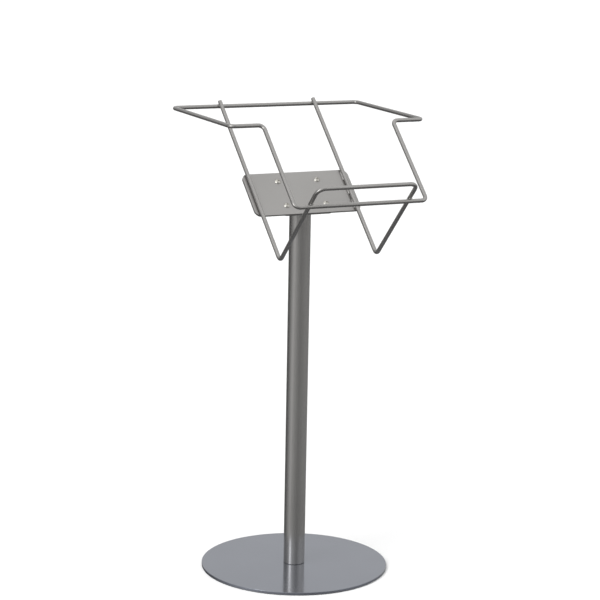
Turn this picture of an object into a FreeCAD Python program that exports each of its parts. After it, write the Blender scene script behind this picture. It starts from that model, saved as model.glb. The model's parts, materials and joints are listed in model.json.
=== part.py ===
"""Floor-standing wire magazine rack: a round steel base, one post and a tray of bent wire that leans back.

Millimetres. The origin is the middle of the base's underside, on the post's axis. +Z is up, the tray opens
towards -Y and +X is on the right of a person who faces it.
"""

import FreeCAD, Part
import math
import os

from FreeCAD import Placement, Rotation, Vector

# Base
BASE_DIAMETER = 280.0
BASE_THICKNESS = 4.0
BASE_EDGE_RADIUS = 0.4
MAT_THICKNESS = 0.5
MAT_DIAMETER = 268.0
COUNTERSINK_DIAMETER = 12.4

# Post
POST_DIAMETER = 32.0
POST_WALL = 1.5
POST_FOOT_CHAMFER = 0.7
INSERT_LENGTH = 24.0
INSERT_CHAMFER = 1.0

# Tray of bent wire. Its back leans away from the vertical by TRAY_TILT, and its shelf is square to the back.
WIRE_DIAMETER = 6.0
WELD_SINK = 0.4  # how far two crossing wires are pressed into each other by their weld
TRAY_TILT = 46.0
SHELF_CORNER_Y = -94.0  # where the centre lines of the back and of the shelf meet
SHELF_CORNER_Z = 489.5
SHELF_DEPTH = 164.5
SHELF_HALF_WIDTH = 77.5
SHELF_FRONT_BEND = 12.0
WIRE_BEND = 8.0
FRONT_REACH = 132.5  # from the back to the dropped front loop, along the shelf
FRONT_HALF_WIDTH = 103.0
FRONT_DROP = 145.5
COLLAR_HALF_WIDTH = 152.5
COLLAR_SLOPE = 1.5  # the collar rises this many degrees towards the back
BACK_WIRE_OVERRUN = 5.0  # past the collar's back bar

# Plates and fasteners that join the tray to the post
FRAME_PLATE = (172.0, 76.0, 3.0)  # width, height along the tray's back, thickness
HEAD_PLATE = (88.0, 72.0, 4.0)
PLATE_CORNER = 10.0
HOLE_SPACING = (64.0, 44.0)
HOLE_DIAMETER = 5.5
SCREW_DIAMETER = 5.0
SCREW_LENGTH = 16.0
SCREW_HEAD = (9.5, 2.75)  # diameter, height
SCREW_SOCKET = (3.0, 1.6)  # across flats, depth
WASHER = (10.0, 5.3, 1.0)  # outer diameter, inner diameter, thickness
NUT_ACROSS_FLATS = 8.0
NUT_HEX_HEIGHT = 3.4
NUT_COLLAR = (7.6, 1.6)  # diameter, height
NUT_RING = (6.6, 1.3)  # outer diameter, thickness
NUT_CHAMFER = 0.5

# The screw that holds the post on the base
BASE_SCREW_DIAMETER = 6.0
BASE_SCREW_LENGTH = 20.0
BASE_SCREW_RECESS = 0.2
BASE_SCREW_CLEARANCE = 0.6
BASE_SCREW_TIP = 0.8
BASE_SCREW_SOCKET = (4.0, 2.2)

X = Vector(1, 0, 0)
Z = Vector(0, 0, 1)
TILT = math.radians(TRAY_TILT)
UP = Vector(0, math.sin(TILT), math.cos(TILT))  # up the tray's back
OUT = Vector(0, -math.cos(TILT), math.sin(TILT))  # out of the back, along the shelf
CORNER = Vector(0, SHELF_CORNER_Y, SHELF_CORNER_Z)
WIRE_RADIUS = WIRE_DIAMETER / 2
CROSSING = WIRE_DIAMETER - WELD_SINK  # between the centre lines of two welded wires
TOLERANCE = 0.01

BASE_TOP = MAT_THICKNESS + BASE_THICKNESS
FRAME_PLATE_BACK = -WIRE_RADIUS - FRAME_PLATE[2]
HEAD_PLATE_BACK = FRAME_PLATE_BACK - HEAD_PLATE[2]
# How far up the back the middle of the head plate's rear face lies, on the post's axis
HEAD_HEIGHT = -(CORNER + OUT * HEAD_PLATE_BACK).y / UP.y


def tray_point(across, up, out):
    """A point in the tray's own directions: across it, up its back, and out along its shelf."""
    return CORNER + X * across + UP * up + OUT * out


def on_tray(shape, across, up, out):
    """A copy of shape, turned so that its X, Y and Z run across the tray, up its back and out of it."""
    placed = shape.copy()
    placed.Placement = Placement(tray_point(across, up, out), Rotation(X, 90 - TRAY_TILT))
    return placed


def bend(before, corner, after, radius):
    """Where a bend at corner starts and ends, its centre and axis, and its angle in degrees."""
    arriving = (corner - before).normalize()
    leaving = (after - corner).normalize()
    turn = arriving.getAngle(leaving)
    start = corner - arriving * radius * math.tan(turn / 2)
    end = corner + leaving * radius * math.tan(turn / 2)
    axis = arriving.cross(leaving).normalize()
    centre = start + axis.cross(arriving) * radius
    return start, end, centre, axis, math.degrees(turn)


def bent_wire(points, radii, closed):
    """A round wire along straight runs through points, with a bend at each corner.

    An open wire has a radius for each point between its ends, a closed one for every point.
    """
    count = len(points)
    corners = range(count) if closed else range(1, count - 1)
    bends = [
        bend(points[i - 1], points[i], points[(i + 1) % count], radius)
        for i, radius in zip(corners, radii)
    ]
    solids = []
    if closed:
        run_starts = [b[1] for b in bends]
        run_ends = [b[0] for b in bends[1:] + bends[:1]]
    else:
        run_starts = [points[0]] + [b[1] for b in bends]
        run_ends = [b[0] for b in bends] + [points[-1]]
    for start, end in zip(run_starts, run_ends):
        solids.append(Part.makeCylinder(WIRE_RADIUS, (end - start).Length, start, end - start))
    for start, end, centre, axis, angle in bends:
        arriving = axis.cross(centre - start)
        ring = Part.Wire(Part.makeCircle(WIRE_RADIUS, start, arriving))
        solids.append(Part.Face(ring).revolve(centre, axis, angle))
    wire = solids[0].fuse(solids[1:]).removeSplitter()
    return wire.Solids[0] if len(wire.Solids) == 1 else wire


def circles(shape):
    """The circular edges of a shape."""
    return [e for e in shape.Edges if isinstance(e.Curve, Part.Circle)]


def hexagon(across_flats, height):
    """A hexagonal prism on the XY plane, with two corners on the X axis."""
    reach = across_flats / math.sqrt(3)
    corners = [Rotation(Z, 60 * i).multVec(X * reach) for i in range(6)]
    outline = Part.makePolygon(corners + corners[:1])
    return Part.Face(outline).extrude(Z * height)


def plate(size, holes_at, hole_diameter):
    """A flat plate with round corners, centred on the origin, its front face at Z = 0 and its rear below."""
    width, height, thickness = size
    blank = Part.makeBox(width, height, thickness, Vector(-width / 2, -height / 2, -thickness))
    upright = [e for e in blank.Edges if e.tangentAt(e.FirstParameter).cross(Z).Length < TOLERANCE]
    blank = blank.makeFillet(PLATE_CORNER, upright)
    for x, y in holes_at:
        blank = blank.cut(Part.makeCylinder(hole_diameter / 2, thickness, Vector(x, y, -thickness)))
    return blank


def hole_places():
    """The four bolt places, across the tray and up its back, about the middle of the plates."""
    half_width, half_height = HOLE_SPACING[0] / 2, HOLE_SPACING[1] / 2
    return [(sx * half_width, sy * half_height) for sx in (-1, 1) for sy in (-1, 1)]


def repeated(shape, out):
    """One copy of a fastener at each bolt place, with its own Z = 0 at out."""
    return Part.makeCompound([on_tray(shape, x, HEAD_HEIGHT + y, out) for x, y in hole_places()])


def base_plate():
    disc = Part.makeCylinder(BASE_DIAMETER / 2, BASE_THICKNESS, Z * MAT_THICKNESS)
    disc = disc.makeFillet(BASE_EDGE_RADIUS, circles(disc))
    hole_radius = (BASE_SCREW_DIAMETER + BASE_SCREW_CLEARANCE) / 2
    sink_radius = COUNTERSINK_DIAMETER / 2
    hole = Part.makeCylinder(hole_radius, BASE_THICKNESS, Z * MAT_THICKNESS)
    sink = Part.makeCone(sink_radius, hole_radius, sink_radius - hole_radius, Z * MAT_THICKNESS)
    return disc.cut(hole).cut(sink)


def base_mat():
    return Part.makeCylinder(MAT_DIAMETER / 2, MAT_THICKNESS)


def base_screw():
    bottom = MAT_THICKNESS + BASE_SCREW_RECESS
    radius = BASE_SCREW_DIAMETER / 2
    head_radius = COUNTERSINK_DIAMETER / 2 - BASE_SCREW_RECESS
    head = Part.makeCone(head_radius, radius, head_radius - radius, Z * bottom)
    shank = Part.makeCylinder(radius, BASE_SCREW_LENGTH, Z * bottom)
    tip = [e for e in circles(shank) if e.CenterOfMass.z > bottom + TOLERANCE]
    shank = shank.makeChamfer(BASE_SCREW_TIP, tip)
    socket = hexagon(*BASE_SCREW_SOCKET)
    socket.translate(Z * bottom)
    return shank.fuse(head).cut(socket).removeSplitter()


def post_insert():
    plug = Part.makeCylinder(POST_DIAMETER / 2 - POST_WALL, INSERT_LENGTH, Z * BASE_TOP)
    plug = plug.makeChamfer(INSERT_CHAMFER, circles(plug))
    return plug.cut(Part.makeCylinder(BASE_SCREW_DIAMETER / 2, INSERT_LENGTH, Z * BASE_TOP))


def post_tube():
    radius = POST_DIAMETER / 2
    length = 2 * SHELF_CORNER_Z
    tube = Part.makeCylinder(radius, length, Z * BASE_TOP)
    foot = [e for e in circles(tube) if e.CenterOfMass.z < BASE_TOP + TOLERANCE]
    tube = tube.makeChamfer(POST_FOOT_CHAMFER, foot)
    tube = tube.cut(Part.makeCylinder(radius - POST_WALL, length, Z * BASE_TOP))
    above = Part.makeBox(length, 2 * length, length, Vector(-length / 2, -length, 0))
    return tube.cut(on_tray(above, 0, HEAD_HEIGHT, HEAD_PLATE_BACK))


def head_plate():
    blank = plate(HEAD_PLATE, hole_places(), HOLE_DIAMETER)
    return on_tray(blank, 0, HEAD_HEIGHT, FRAME_PLATE_BACK)


def frame_plate():
    blank = plate(FRAME_PLATE, hole_places(), HOLE_DIAMETER)
    return on_tray(blank, 0, HEAD_HEIGHT, -WIRE_RADIUS)


def frame_screws():
    head_diameter, head_height = SCREW_HEAD
    base_radius = head_diameter / 2
    dome_radius = (base_radius**2 + head_height**2) / (2 * head_height)
    dome = Part.makeSphere(dome_radius, Z * (head_height - dome_radius))
    head = Part.makeCylinder(base_radius, head_height).common(dome)
    shank = Part.makeCylinder(SCREW_DIAMETER / 2, SCREW_LENGTH, Z * -SCREW_LENGTH)
    tip = [e for e in circles(shank) if e.CenterOfMass.z < -TOLERANCE]
    shank = shank.makeChamfer(NUT_CHAMFER, tip)
    across_flats, depth = SCREW_SOCKET
    socket = hexagon(across_flats, depth)
    socket.translate(Z * (head_height - depth))
    return repeated(head.fuse(shank).cut(socket).removeSplitter(), -WIRE_RADIUS)


def frame_washers():
    outer, inner, thickness = WASHER
    ring = Part.makeCylinder(outer / 2, thickness, Z * -thickness)
    ring = ring.cut(Part.makeCylinder(inner / 2, thickness, Z * -thickness))
    return repeated(ring, HEAD_PLATE_BACK)


def nut_body():
    """A lock nut below Z = 0: a chamfered hexagon, and the round collar that holds the locking ring."""
    reach = NUT_ACROSS_FLATS / math.sqrt(3)
    prism = hexagon(NUT_ACROSS_FLATS, NUT_HEX_HEIGHT)
    round_bar = Part.makeCylinder(reach, NUT_HEX_HEIGHT)
    prism = prism.common(round_bar.makeChamfer(NUT_CHAMFER, circles(round_bar)))
    prism.translate(Z * -NUT_HEX_HEIGHT)
    diameter, height = NUT_COLLAR
    collar = Part.makeCylinder(diameter / 2, height, Z * -(NUT_HEX_HEIGHT + height))
    ring_diameter, ring_height = NUT_RING
    seat = Part.makeCylinder(ring_diameter / 2, ring_height, Z * -(NUT_HEX_HEIGHT + height))
    thread = Part.makeCylinder(SCREW_DIAMETER / 2, NUT_HEX_HEIGHT + height, Z * -(NUT_HEX_HEIGHT + height))
    return prism.fuse(collar).cut(seat).cut(thread).removeSplitter()


def frame_nuts():
    return repeated(nut_body(), HEAD_PLATE_BACK - WASHER[2])


def nut_rings():
    diameter, height = NUT_RING
    low = Z * -(NUT_HEX_HEIGHT + NUT_COLLAR[1])
    ring = Part.makeCylinder(diameter / 2, height, low)
    ring = ring.cut(Part.makeCylinder(SCREW_DIAMETER / 2, height, low))
    return repeated(ring, HEAD_PLATE_BACK - WASHER[2])


def collar_corners():
    """The collar hoop's centre line at its front and its back, seen from the side."""
    front = tray_point(0, FRONT_DROP - CROSSING, FRONT_REACH)
    depth = (FRONT_REACH + CROSSING) / math.cos(TILT + math.radians(COLLAR_SLOPE))
    slope = math.radians(COLLAR_SLOPE)
    back = front + Vector(0, math.cos(slope), math.sin(slope)) * depth
    return front, back


def collar_wire():
    """The collar hoop and the front loop that drops from it, one closed wire around the tray."""
    front, back = collar_corners()
    bar = tray_point(0, -CROSSING, FRONT_REACH)
    left = [
        back - X * COLLAR_HALF_WIDTH,
        front - X * COLLAR_HALF_WIDTH,
        front - X * FRONT_HALF_WIDTH,
        bar - X * FRONT_HALF_WIDTH,
    ]
    right = [Vector(-p.x, p.y, p.z) for p in reversed(left)]
    corners = left + right
    return bent_wire(corners, [WIRE_BEND] * len(corners), closed=True)


def shelf_wire():
    """The shelf loop and the two wires of the tray's back, one open wire inside the collar."""
    back = collar_corners()[1]
    top = (back - CORNER).dot(UP) + BACK_WIRE_OVERRUN
    left = [
        tray_point(-SHELF_HALF_WIDTH, top, 0),
        tray_point(-SHELF_HALF_WIDTH, 0, 0),
        tray_point(-SHELF_HALF_WIDTH, 0, SHELF_DEPTH),
    ]
    right = [Vector(-p.x, p.y, p.z) for p in reversed(left)]
    radii = [WIRE_BEND, SHELF_FRONT_BEND, SHELF_FRONT_BEND, WIRE_BEND]
    return bent_wire(left + right, radii, closed=False)


PIECES = [
    base_plate,
    base_mat,
    base_screw,
    post_insert,
    post_tube,
    head_plate,
    frame_plate,
    frame_screws,
    frame_washers,
    frame_nuts,
    nut_rings,
    collar_wire,
    shelf_wire,
]


def main():
    os.makedirs("parts", exist_ok=True)
    for make in PIECES:
        shape = make()
        shape.exportStep(f"parts/{make.__name__}.step")
        box = shape.BoundBox
        print(
            f"{make.__name__}: {len(shape.Solids)} solids, valid {shape.isValid()}, {shape.Volume:.0f} mm3, "
            f"x {box.XMin:.1f} to {box.XMax:.1f}, y {box.YMin:.1f} to {box.YMax:.1f}, "
            f"z {box.ZMin:.1f} to {box.ZMax:.1f}"
        )


main()
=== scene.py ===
"""Looks of the wire magazine rack: materials, welds, screws, light and camera. Metres, in the CAD's frame."""

import json
import math
import random

import bpy
from mathutils import Matrix, Quaternion, Vector


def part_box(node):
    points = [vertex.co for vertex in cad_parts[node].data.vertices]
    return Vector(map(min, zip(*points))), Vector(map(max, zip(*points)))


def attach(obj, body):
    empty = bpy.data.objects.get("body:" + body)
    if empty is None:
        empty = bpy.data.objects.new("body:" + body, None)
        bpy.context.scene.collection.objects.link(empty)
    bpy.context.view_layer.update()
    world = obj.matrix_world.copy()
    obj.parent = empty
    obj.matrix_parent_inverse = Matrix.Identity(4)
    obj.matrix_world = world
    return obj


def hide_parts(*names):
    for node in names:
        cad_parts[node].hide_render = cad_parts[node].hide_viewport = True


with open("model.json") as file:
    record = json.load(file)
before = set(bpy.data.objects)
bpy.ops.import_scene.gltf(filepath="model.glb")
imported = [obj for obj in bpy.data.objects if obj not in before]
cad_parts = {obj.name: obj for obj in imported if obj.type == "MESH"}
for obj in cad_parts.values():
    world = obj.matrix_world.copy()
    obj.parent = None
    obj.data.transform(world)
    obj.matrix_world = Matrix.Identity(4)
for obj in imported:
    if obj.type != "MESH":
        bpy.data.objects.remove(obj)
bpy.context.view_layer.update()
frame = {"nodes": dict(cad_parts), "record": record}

ROOT = "root"
MM = 0.001

# The tray's own directions, as in the CAD: across it, up its leaning back, and out along its shelf.
TRAY_TILT = math.radians(46)
ACROSS = Vector((1, 0, 0))
UP = Vector((0, math.sin(TRAY_TILT), math.cos(TRAY_TILT)))
OUT = Vector((0, -math.cos(TRAY_TILT), math.sin(TRAY_TILT)))
WIRE_RADIUS = 3 * MM
POST_RADIUS = 16 * MM
HEAD_PLATE_THICKNESS = 4 * MM
FRAME_PLATE_THICKNESS = 3 * MM
BOLT_SPACING = (64 * MM, 44 * MM)

# The camera: its bearing from the rack's front, its distance from the post, its height and its aim.
CAMERA_AZIMUTH = math.radians(-26.61)
CAMERA_DISTANCE = 2.920
CAMERA_HEIGHT = 0.9956
CAMERA_YAW = math.radians(-0.04)
CAMERA_PITCH = math.radians(11.34)
CAMERA_ROLL = math.radians(1.05)
CAMERA_LENS = 120.7
SENSOR_WIDTH = 36.0

# The studio wall's brightness at bearings round the rack, in degrees from the camera, positive on its right.
# LOW_WALL is what lies below the horizon and HIGH_WALL what lies above it, with a bright softbox on the left.
LOW_WALL = [
    (-180, 0.24), (-155, 0.14), (-125, 0.09), (-95, 0.30), (-78, 0.52), (-58, 0.70), (-35, 0.50), (0, 0.34),
    (20, 0.27), (50, 0.32), (89, 0.40), (120, 0.36), (150, 0.34), (180, 0.24),
]
HIGH_WALL = [
    (-180, 0.66), (-150, 0.58), (-112, 0.36), (-84, 0.52), (-66, 0.90), (-56, 1.9), (-45, 4.4), (-34, 1.9),
    (-22, 1.1), (-8, 0.90), (15, 0.54), (28, 0.46), (52, 0.80), (76, 1.0), (106, 0.84), (140, 0.72),
    (180, 0.66),
]
GROUND_LIGHT = 0.12
CEILING_LIGHT = 0.95
BRIGHTEST = 4.5  # the world's strength: the ramps and mixes hold brightness as a share of it
# Where ground, low wall, high wall and ceiling blend, as the sine of the height above the horizon.
GROUND_EDGE = (-0.55, -0.24)
HORIZON = (-0.10, 0.10)
CEILING_EDGE = (0.55, 0.85)

# Finishes
LACQUER_COLOUR = (0.372, 0.364, 0.354)
BASE_COLOUR = (0.30, 0.318, 0.365)
ZINC_COLOUR = (0.62, 0.61, 0.58)
ZINC_TINT = (0.68, 0.66, 0.60)
STEEL_COLOUR = (0.46, 0.45, 0.44)
RUBBER_COLOUR = (0.022, 0.022, 0.024)
NYLON_COLOUR = (0.74, 0.74, 0.69)
FLOOR_COLOUR = (0.80, 0.80, 0.80)

# The span that a noise texture's value mostly keeps to
NOISE_SPAN = (0.3, 0.7)
# Sockets of a Mix node that mixes colours
MIX_FIRST, MIX_SECOND, MIX_RESULT = 6, 7, 2


# ---------------------------------------------------------------- materials


class Tree:
    """A material with a Principled shader, and short ways to add and join nodes."""

    def __init__(self, name, metallic, roughness):
        self.material = bpy.data.materials.new(name)
        self.material.use_nodes = True
        self.nodes = self.material.node_tree.nodes
        self.links = self.material.node_tree.links
        self.shader = next(n for n in self.nodes if n.type == "BSDF_PRINCIPLED")
        self.shader.inputs["Metallic"].default_value = metallic
        self.shader.inputs["Roughness"].default_value = roughness
        self.place = self.add("ShaderNodeTexCoord").outputs["Object"]

    def add(self, kind, **settings):
        node = self.nodes.new(kind)
        for key, value in settings.items():
            setattr(node, key, value)
        return node

    def join(self, output, node, socket):
        self.links.new(output, node.inputs[socket])

    def noise(self, scale, detail=2.0, stretch=None, roughness=0.5):
        """A noise value, with scale in waves per metre, or along each axis if stretch is given."""
        node = self.add("ShaderNodeTexNoise")
        node.inputs["Scale"].default_value = scale
        node.inputs["Detail"].default_value = detail
        node.inputs["Roughness"].default_value = roughness
        vector = self.place
        if stretch is not None:
            mapping = self.add("ShaderNodeMapping")
            mapping.inputs["Scale"].default_value = stretch
            self.join(self.place, mapping, "Vector")
            vector = mapping.outputs["Vector"]
        self.join(vector, node, "Vector")
        return node.outputs["Fac"]

    def ranged(self, value, low, high):
        """A noise value, stretched from its usual span to low..high."""
        node = self.add("ShaderNodeMapRange")
        for socket, number in zip(("From Min", "From Max", "To Min", "To Max"), (*NOISE_SPAN, low, high)):
            node.inputs[socket].default_value = number
        self.join(value, node, "Value")
        return node.outputs["Result"]

    def tinted(self, value, dark, light):
        """A colour between dark and light, by value."""
        node = self.add("ShaderNodeMix", data_type="RGBA")
        node.inputs[MIX_FIRST].default_value = (*dark, 1)
        node.inputs[MIX_SECOND].default_value = (*light, 1)
        self.join(value, node, "Factor")
        return node.outputs[MIX_RESULT]

    def added(self, first, second):
        node = self.add("ShaderNodeMath", operation="ADD")
        self.join(first, node, 0)
        self.join(second, node, 1)
        return node.outputs["Value"]

    def bumped(self, height, strength, distance):
        node = self.add("ShaderNodeBump")
        node.inputs["Strength"].default_value = strength
        node.inputs["Distance"].default_value = distance
        self.join(height, node, "Height")
        self.join(node.outputs["Normal"], self.shader, "Normal")


def shade(colour, factor):
    return tuple(channel * factor for channel in colour)


def satin_lacquer(name, colour, roughness, peel, flakes, grain=None):
    """Silver lacquer: metal flakes under a clear coat, a slow drift of tone, orange peel and any drawn grain.

    peel and flakes are in waves per metre, and grain is in waves per metre along each axis."""
    drift_waves, patch_waves = 14.0, 70.0
    drift_share, contrast, roughness_spread = 0.6, 0.04, 0.02
    tree = Tree(name, metallic=0.92, roughness=roughness)
    tree.shader.inputs["Coat Weight"].default_value = 0.3
    tree.shader.inputs["Coat Roughness"].default_value = 0.08
    drift = tree.noise(drift_waves, detail=3.0)
    flake = tree.noise(flakes, detail=0.0)
    tone = tree.added(tree.ranged(drift, 0.0, drift_share), tree.ranged(flake, 0.0, 1 - drift_share))
    tint = tree.tinted(tone, shade(colour, 1 - contrast), shade(colour, 1 + contrast))
    tree.join(tint, tree.shader, "Base Color")
    patches = tree.noise(patch_waves, detail=3.0)
    patches = tree.ranged(patches, roughness - roughness_spread, roughness + roughness_spread)
    tree.join(patches, tree.shader, "Roughness")
    height = tree.noise(peel, detail=1.5)
    if grain is not None:
        height = tree.added(height, tree.noise(1.0, detail=2.0, stretch=grain))
    tree.bumped(height, strength=0.06, distance=0.02 * MM)
    return tree.material


def zinc(name):
    """Bright zinc plating: a cloudy passivation tint, duller patches and a fine grain."""
    cloud_waves, patch_waves, grain_waves = 260.0, 900.0, 2600.0
    tree = Tree(name, metallic=1.0, roughness=0.3)
    cloud = tree.ranged(tree.noise(cloud_waves, detail=4.0), 0.0, 1.0)
    tree.join(tree.tinted(cloud, shade(ZINC_COLOUR, 0.86), ZINC_TINT), tree.shader, "Base Color")
    tree.join(tree.ranged(tree.noise(patch_waves, detail=3.0), 0.22, 0.40), tree.shader, "Roughness")
    tree.bumped(tree.noise(grain_waves, detail=2.0), strength=0.15, distance=0.02 * MM)
    return tree.material


def turned_steel(name):
    """Plain turned steel, with the tool's fine rings along the post's axis."""
    across_waves, along_waves = 60.0, 5000.0
    tree = Tree(name, metallic=1.0, roughness=0.35)
    rings = tree.noise(1.0, detail=2.0, stretch=(across_waves, across_waves, along_waves))
    tint = tree.tinted(tree.ranged(rings, 0.0, 1.0), shade(STEEL_COLOUR, 0.85), shade(STEEL_COLOUR, 1.1))
    tree.join(tint, tree.shader, "Base Color")
    tree.join(tree.ranged(rings, 0.28, 0.42), tree.shader, "Roughness")
    tree.bumped(rings, strength=0.3, distance=0.03 * MM)
    return tree.material


def foam_rubber(name):
    """Matte black foam rubber with open pores."""
    pore_waves = 1500.0
    tree = Tree(name, metallic=0.0, roughness=0.85)
    pores = tree.noise(pore_waves, detail=4.0, roughness=0.7)
    tint = tree.tinted(tree.ranged(pores, 0.0, 1.0), shade(RUBBER_COLOUR, 0.6), shade(RUBBER_COLOUR, 1.7))
    tree.join(tint, tree.shader, "Base Color")
    tree.bumped(pores, strength=0.6, distance=0.15 * MM)
    return tree.material


def natural_nylon(name):
    """The nylon of a lock nut's ring, faintly cloudy."""
    cloud_waves, mould_waves = 500.0, 2200.0
    tree = Tree(name, metallic=0.0, roughness=0.45)
    cloud = tree.ranged(tree.noise(cloud_waves, detail=3.0), 0.0, 1.0)
    tree.join(tree.tinted(cloud, shade(NYLON_COLOUR, 0.9), NYLON_COLOUR), tree.shader, "Base Color")
    tree.bumped(tree.noise(mould_waves), strength=0.2, distance=0.02 * MM)
    return tree.material


FINISHES = {
    "base_lacquer": satin_lacquer(
        "base_lacquer", BASE_COLOUR, roughness=0.14, peel=900.0, flakes=2400.0, grain=(30.0, 900.0, 30.0)
    ),
    "post_lacquer": satin_lacquer(
        "post_lacquer", LACQUER_COLOUR, roughness=0.20, peel=900.0, flakes=2400.0, grain=(500.0, 500.0, 12.0)
    ),
    "wire_lacquer": satin_lacquer(
        "wire_lacquer", LACQUER_COLOUR, roughness=0.24, peel=1400.0, flakes=2600.0
    ),
    "plate_lacquer": satin_lacquer(
        "plate_lacquer", LACQUER_COLOUR, roughness=0.30, peel=1000.0, flakes=2400.0, grain=(700.0, 25.0, 25.0)
    ),
    "zinc_fastener": zinc("zinc_fastener"),
    "turned_steel": turned_steel("turned_steel"),
    "mat_rubber": foam_rubber("mat_rubber"),
    "nylon": natural_nylon("nylon"),
}


def paint_cad_nodes():
    """Gives each CAD node the finish of its own material slot."""
    for part in frame["record"]["subparts"]:
        mesh = frame["nodes"][part["node"]].data
        mesh.materials.clear()
        mesh.materials.append(FINISHES[part["material_slot"]])


# ---------------------------------------------------------------- pieces


def piece(name, verts, faces, slot):
    """A smooth-shaded mesh piece that rides on the rack and takes the finish of a slot."""
    mesh = bpy.data.meshes.new(name)
    mesh.from_pydata([tuple(v) for v in verts], [], faces)
    mesh.validate()
    mesh.shade_smooth()
    mesh.set_sharp_from_angle(angle=math.radians(40))
    mesh.materials.append(FINISHES[slot])
    made = bpy.data.objects.new(name, mesh)
    bpy.context.scene.collection.objects.link(made)
    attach(made, ROOT)
    return made


def joined(parts):
    """Several (verts, faces) as one."""
    verts, faces = [], []
    for part_verts, part_faces in parts:
        start = len(verts)
        verts += part_verts
        faces += [tuple(start + i for i in face) for face in part_faces]
    return verts, faces


def rows_to_faces(rows, around, closed):
    """Quads between rows of around points each; closed joins the last row to the first."""
    faces = []
    for r in range(rows if closed else rows - 1):
        here, there = r * around, ((r + 1) % rows) * around
        for i in range(around):
            j = (i + 1) % around
            faces.append((here + i, here + j, there + j, there + i))
    return faces


def swept(points, radii, around=14, closed=False):
    """A round tube through points, with a radius at each, and flat ends unless it is closed."""
    count = len(points)
    verts = []
    side = None
    for i, (point, radius) in enumerate(zip(points, radii)):
        before = points[i - 1] if closed or i else points[0]
        after = points[(i + 1) % count] if closed or i < count - 1 else points[-1]
        along = (after - before).normalized()
        if side is None:
            side = along.orthogonal().normalized()
        side = (side - along * side.dot(along)).normalized()
        other = along.cross(side)
        for k in range(around):
            angle = 2 * math.pi * k / around
            verts.append(point + radius * (side * math.cos(angle) + other * math.sin(angle)))
    faces = rows_to_faces(count, around, closed)
    if not closed:
        faces.append(tuple(reversed(range(around))))
        faces.append(tuple(range((count - 1) * around, count * around)))
    return verts, faces


def weld_bead(path, radius, ripple, rng, closed=False):
    """A laid weld: overlapping ripples along path, a little uneven, tapering at its ends unless closed."""
    ripple_share, unevenness, blunt_tip, taper_power = 0.09, 0.015, 0.05, 6
    length = sum((b - a).length for a, b in zip(path, path[1:] + path[:1] if closed else path[1:]))
    ripples = max(2, round(length / ripple))
    radii = []
    for i in range(len(path)):
        share = i / (len(path) if closed else len(path) - 1)
        wave = abs(math.sin(math.pi * ripples * share))
        size = radius * (1 - ripple_share + ripple_share * wave + rng.uniform(-unevenness, unevenness))
        if not closed:
            size *= math.sqrt(max(0.0, 1 - (2 * share - 1) ** taper_power)) + blunt_tip
        radii.append(size)
    return swept(path, radii, closed=closed)


def straight(start, end, count):
    return [start.lerp(end, i / (count - 1)) for i in range(count)]


def direction(bearing, height):
    """A unit vector towards a bearing round the rack, 0 being straight in front of it, and a height angle."""
    flat = math.cos(height)
    return Vector((math.sin(bearing) * flat, -math.cos(bearing) * flat, math.sin(height)))


def middle_of(node):
    low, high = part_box(node)
    return (low + high) / 2


def frame_plate_front():
    """The middle of the frame plate's front face."""
    return middle_of("frame_plate") + OUT * FRAME_PLATE_THICKNESS / 2


def post_weld(rng):
    """The fillet weld round the mitred top of the tube, under the head plate."""
    bead_radius, ripple, steps = 2.1 * MM, 2.4 * MM, 240
    outside_tube, under_plate = 0.25 * bead_radius, 0.2 * bead_radius
    reach = POST_RADIUS + outside_tube
    middle = middle_of("head_plate") - OUT * (HEAD_PLATE_THICKNESS / 2 + under_plate)
    path = []
    for i in range(steps):
        angle = 2 * math.pi * i / steps
        path.append(middle + reach * (ACROSS * math.cos(angle) + UP * math.sin(angle) / UP.y))
    piece("post_weld", *weld_bead(path, bead_radius, ripple, rng, closed=True), "plate_lacquer")


def shelf_wire_reach():
    """How far the centre line of each back wire is from the middle of the rack."""
    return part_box("shelf_wire")[1].x - WIRE_RADIUS


def wire_to_plate_welds(rng):
    """Short beads where the two back wires lie on the frame plate."""
    bead_radius, half_bead, ripple, spacing, steps = 1.5 * MM, 8 * MM, 2.0 * MM, 26 * MM, 48
    beside_wire, above_plate = 0.8 * WIRE_RADIUS, 0.4 * bead_radius
    inside = shelf_wire_reach() - beside_wire
    front = frame_plate_front() + OUT * above_plate
    beads = []
    for side in (-1, 1):
        for level in (-1, 0, 1):
            middle = front + ACROSS * side * inside + UP * level * spacing
            path = straight(middle - UP * half_bead, middle + UP * half_bead, steps)
            beads.append(weld_bead(path, bead_radius, ripple, rng))
    piece("wire_to_plate_welds", *joined(beads), "plate_lacquer")


def crossing_welds(rng):
    """The upset metal where two wires are welded across each other: a low fillet on both sides."""
    bead_radius, ripple, steps = 0.42 * WIRE_RADIUS, 1.6 * MM, 16
    contact_depth, fillet_offset, half_bead = 0.95 * WIRE_RADIUS, 0.55 * WIRE_RADIUS, 0.9 * WIRE_RADIUS
    collar_low, collar_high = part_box("collar_wire")
    wire_x = shelf_wire_reach()
    front_bar = Vector((0, collar_low.y + WIRE_RADIUS, collar_low.z + WIRE_RADIUS))
    back_bar = Vector((0, collar_high.y - WIRE_RADIUS, collar_high.z - WIRE_RADIUS))
    beads = []
    for bar, towards_wire, along_wire in ((front_bar, UP, OUT), (back_bar, OUT, UP)):
        for side in (-1, 1):
            contact = bar + ACROSS * side * wire_x + towards_wire * contact_depth
            for edge in (-1, 1):
                middle = contact + along_wire * edge * fillet_offset
                path = straight(middle - ACROSS * half_bead, middle + ACROSS * half_bead, steps)
                beads.append(weld_bead(path, bead_radius, ripple, rng))
    piece("crossing_welds", *joined(beads), "wire_lacquer")


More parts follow.
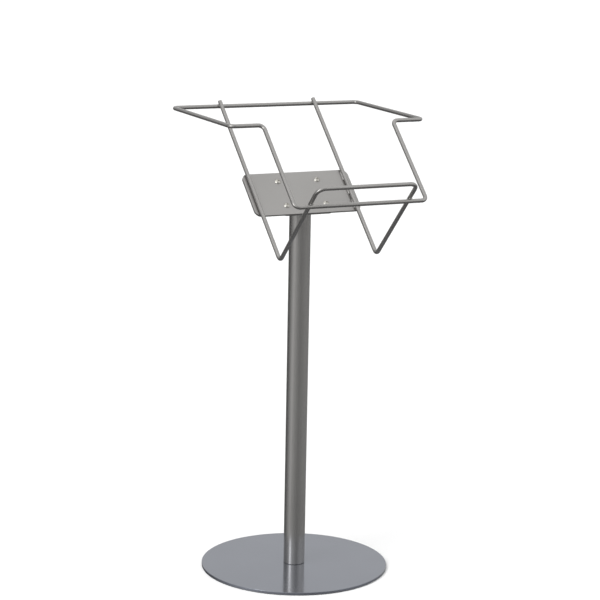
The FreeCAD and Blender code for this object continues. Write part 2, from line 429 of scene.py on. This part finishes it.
def collar_seam():
    """The dressed butt weld that closes the collar wire, in the middle of its back bar."""
    half_width, swell, steps, around = 1.6 * MM, 0.10 * MM, 13, 42
    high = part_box("collar_wire")[1]
    middle = Vector((0, high.y - WIRE_RADIUS, high.z - WIRE_RADIUS))
    path = straight(middle - ACROSS * half_width, middle + ACROSS * half_width, steps)
    shares = [2 * i / (steps - 1) - 1 for i in range(steps)]
    radii = [WIRE_RADIUS + swell * math.cos(math.pi / 2 * share) for share in shares]
    piece("collar_seam", *swept(path, radii, around=around), "wire_lacquer")


def frame_screw():
    """One M5 button-head screw along Z, its seat at Z = 0: domed head, hexagon socket, rolled thread."""
    around, rows_per_pitch, dome_rows = 60, 8, 10
    head_radius, head_height, edge, crown_radius = 4.75 * MM, 2.75 * MM, 0.12 * MM, 2.0 * MM
    seat_radius = head_radius - 0.15 * MM
    socket_flat, socket_depth, socket_point, pin = 1.5 * MM, 1.6 * MM, 0.5 * MM, 0.02 * MM
    thread_radius, thread_depth, pitch, length = 2.5 * MM, 0.40 * MM, 0.8 * MM, 16 * MM
    threaded, tip_length, tip_chamfer = length - 0.3 * MM, 0.7 * MM, 0.5 * MM
    crest_rise, crest_slope = 1.6, 3.6
    angles = [2 * math.pi * k / around for k in range(around)]
    dome_radius = (head_radius**2 + head_height**2) / (2 * head_height)

    def ring(radius, z):
        return [Vector((radius * math.cos(a), radius * math.sin(a), z)) for a in angles]

    def hexagon(flat, z):
        sixth = math.pi / 3
        reach = [flat / math.cos((a + sixth / 2) % sixth - sixth / 2) for a in angles]
        return [Vector((r * math.cos(a), r * math.sin(a), z)) for r, a in zip(reach, angles)]

    def dome_height(radius):
        return head_height - dome_radius + math.sqrt(dome_radius**2 - radius**2)

    def thread_row(z):
        """One turn round the shank at z, in and out of the thread, and drawn in towards the tip."""
        lead_in = min(1.0, (z + length) / tip_length)
        row = []
        for k, a in enumerate(angles):
            phase = (z / pitch - k / around) % 1.0
            crest = min(1.0, max(0.0, crest_rise - abs(phase - 0.5) * crest_slope))
            radius = thread_radius - thread_depth * (1 - crest)
            radius = min(radius, thread_radius - tip_chamfer * (1 - lead_in))
            row.append(Vector((radius * math.cos(a), radius * math.sin(a), z)))
        return row

    steps = round(threaded / pitch * rows_per_pitch)
    rows = [ring(pin, -length)]
    rows += [thread_row(-length + threaded * s / steps) for s in range(steps + 1)]
    rows += [ring(thread_radius, 0.0), ring(seat_radius, 0.0)]
    for i in range(dome_rows):
        radius = head_radius - (head_radius - crown_radius) * i / (dome_rows - 1)
        rows.append(ring(radius, dome_height(radius) + (edge if i == 0 else 0.0)))
    rows.append(hexagon(socket_flat + edge, dome_height(socket_flat)))
    rows.append(hexagon(socket_flat, dome_height(socket_flat) - edge))
    rows.append(hexagon(socket_flat, head_height - socket_depth))
    rows.append(ring(pin, head_height - socket_depth - socket_point))
    verts = [v for row in rows for v in row]
    faces = rows_to_faces(len(rows), around, closed=False)
    faces.append(tuple(reversed(range(around))))
    faces.append(tuple(range(len(verts) - around, len(verts))))
    return verts, faces


def frame_screws(rng):
    """The four screws on the frame plate, each turned to its own angle."""
    verts, faces = frame_screw()
    front = frame_plate_front()
    turned = Matrix((ACROSS, UP, OUT)).transposed()
    screws = []
    for side in (-1, 1):
        for level in (-1, 1):
            seat = front + ACROSS * side * BOLT_SPACING[0] / 2 + UP * level * BOLT_SPACING[1] / 2
            spin = Matrix.Rotation(rng.uniform(0, math.pi / 3), 3, "Z")
            screws.append(([seat + turned @ (spin @ v) for v in verts], faces))
    made = piece("frame_screws_threaded", *joined(screws), "zinc_fastener")
    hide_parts("frame_screws")


# ---------------------------------------------------------------- stage


def pale_floor():
    """A plain pale floor, just under the rack's mat. Metal doesn't mirror it, as if it were a small sheet."""
    half, level, mottle_waves, mottle_spread = 40.0, -0.05 * MM, 1.5, 0.0125
    mesh = bpy.data.meshes.new("floor")
    corners = [(-half, -half, level), (half, -half, level), (half, half, level), (-half, half, level)]
    mesh.from_pydata(corners, [], [(0, 1, 2, 3)])
    tree = Tree("floor_pale", metallic=0.0, roughness=0.9)
    tree.shader.inputs["Specular IOR Level"].default_value = 0.0
    mottle = tree.ranged(tree.noise(mottle_waves), 0.0, 1.0)
    tint = tree.tinted(mottle, shade(FLOOR_COLOUR, 1 - mottle_spread), shade(FLOOR_COLOUR, 1 + mottle_spread))
    tree.join(tint, tree.shader, "Base Color")
    mesh.materials.append(tree.material)
    floor = bpy.data.objects.new("floor", mesh)
    bpy.context.scene.collection.objects.link(floor)
    floor.visible_glossy = False


def studio_world():
    """A soft studio: light overhead, dark below, and a wall all round that is brighter above the horizon."""
    world = bpy.data.worlds.new("studio")
    bpy.context.scene.world = world
    world.use_nodes = True
    nodes, links = world.node_tree.nodes, world.node_tree.links
    background = next(n for n in nodes if n.type == "BACKGROUND")
    place = nodes.new("ShaderNodeTexCoord")
    turn = nodes.new("ShaderNodeVectorRotate")
    turn.rotation_type = "Z_AXIS"
    turn.inputs["Angle"].default_value = -CAMERA_AZIMUTH
    links.new(place.outputs["Generated"], turn.inputs["Vector"])
    split = nodes.new("ShaderNodeSeparateXYZ")
    links.new(turn.outputs["Vector"], split.inputs["Vector"])
    ahead = nodes.new("ShaderNodeMath")
    ahead.operation = "MULTIPLY"
    ahead.inputs[1].default_value = -1.0
    links.new(split.outputs["Y"], ahead.inputs[0])
    bearing = nodes.new("ShaderNodeMath")
    bearing.operation = "ARCTAN2"
    links.new(split.outputs["X"], bearing.inputs[0])
    links.new(ahead.outputs["Value"], bearing.inputs[1])
    turned_share = between(nodes, links, bearing.outputs["Value"], -math.pi, math.pi, eased=False)
    low_wall = wall_ramp(nodes, links, turned_share, LOW_WALL)
    high_wall = wall_ramp(nodes, links, turned_share, HIGH_WALL)
    rise = split.outputs["Z"]
    wall = mixed(nodes, links, between(nodes, links, rise, *HORIZON), low_wall, high_wall)
    lifted = mixed(nodes, links, between(nodes, links, rise, *GROUND_EDGE), GROUND_LIGHT, wall)
    whole = mixed(nodes, links, between(nodes, links, rise, *CEILING_EDGE), lifted, CEILING_LIGHT)
    links.new(whole, background.inputs["Color"])
    background.inputs["Strength"].default_value = BRIGHTEST


def between(nodes, links, value, low, high, eased=True):
    """How far value lies from low to high, from 0 to 1, easing in and out if asked."""
    node = nodes.new("ShaderNodeMapRange")
    node.interpolation_type = "SMOOTHSTEP" if eased else "LINEAR"
    node.inputs["From Min"].default_value = low
    node.inputs["From Max"].default_value = high
    links.new(value, node.inputs["Value"])
    return node.outputs["Result"]


def mixed(nodes, links, share, first, second):
    """first turning into second by share; each is a node's output or a grey brightness."""
    node = nodes.new("ShaderNodeMix")
    node.data_type = "RGBA"
    links.new(share, node.inputs["Factor"])
    for socket, value in ((MIX_FIRST, first), (MIX_SECOND, second)):
        if isinstance(value, float):
            node.inputs[socket].default_value = grey(value)
        else:
            links.new(value, node.inputs[socket])
    return node.outputs[MIX_RESULT]


def grey(brightness):
    share = brightness / BRIGHTEST
    return (share, share, share, 1)


def wall_ramp(nodes, links, turned_share, stops):
    """A smooth grey ramp round the whole turn, with stops at (bearing in degrees, brightness)."""
    node = nodes.new("ShaderNodeValToRGB")
    node.color_ramp.interpolation = "EASE"
    elements = node.color_ramp.elements
    while len(elements) < len(stops):
        elements.new(0.5)
    for element, (bearing, brightness) in zip(elements, stops):
        element.position = (bearing + 180) / 360
        element.color = grey(brightness)
    links.new(turned_share, node.inputs["Fac"])
    return node.outputs["Color"]


def key_light():
    """One very soft key light, high on the camera's left. It isn't mirrored: the wall and ceiling are."""
    left_of_camera, height, spread = math.radians(50), math.radians(52), math.radians(50)
    light = bpy.data.lights.new("key", "SUN")
    light.energy = 1.9
    light.angle = spread
    lamp = bpy.data.objects.new("key", light)
    towards_light = direction(CAMERA_AZIMUTH - left_of_camera, height)
    lamp.rotation_mode = "QUATERNION"
    lamp.rotation_quaternion = towards_light.to_track_quat("Z", "Y")
    lamp.visible_glossy = False
    bpy.context.scene.collection.objects.link(lamp)


def camera():
    """The camera in front and to the left of the rack, looking a little down, with a slight roll."""
    lens = bpy.data.cameras.new("camera")
    lens.lens = CAMERA_LENS
    lens.sensor_width = SENSOR_WIDTH
    lens.clip_end = 200.0
    made = bpy.data.objects.new("camera", lens)
    stand = direction(CAMERA_AZIMUTH, 0.0) * CAMERA_DISTANCE
    made.location = (stand.x, stand.y, CAMERA_HEIGHT)
    back = direction(CAMERA_AZIMUTH + CAMERA_YAW, CAMERA_PITCH)
    made.rotation_mode = "QUATERNION"
    made.rotation_quaternion = Quaternion(back, CAMERA_ROLL) @ back.to_track_quat("Z", "Y")
    bpy.context.scene.collection.objects.link(made)
    bpy.context.scene.camera = made


def main():
    rng = random.Random(7)
    paint_cad_nodes()
    post_weld(rng)
    wire_to_plate_welds(rng)
    crossing_welds(rng)
    collar_seam()
    frame_screws(rng)
    pale_floor()
    studio_world()
    key_light()
    camera()
    bpy.context.scene.view_settings.view_transform = "Standard"


main()
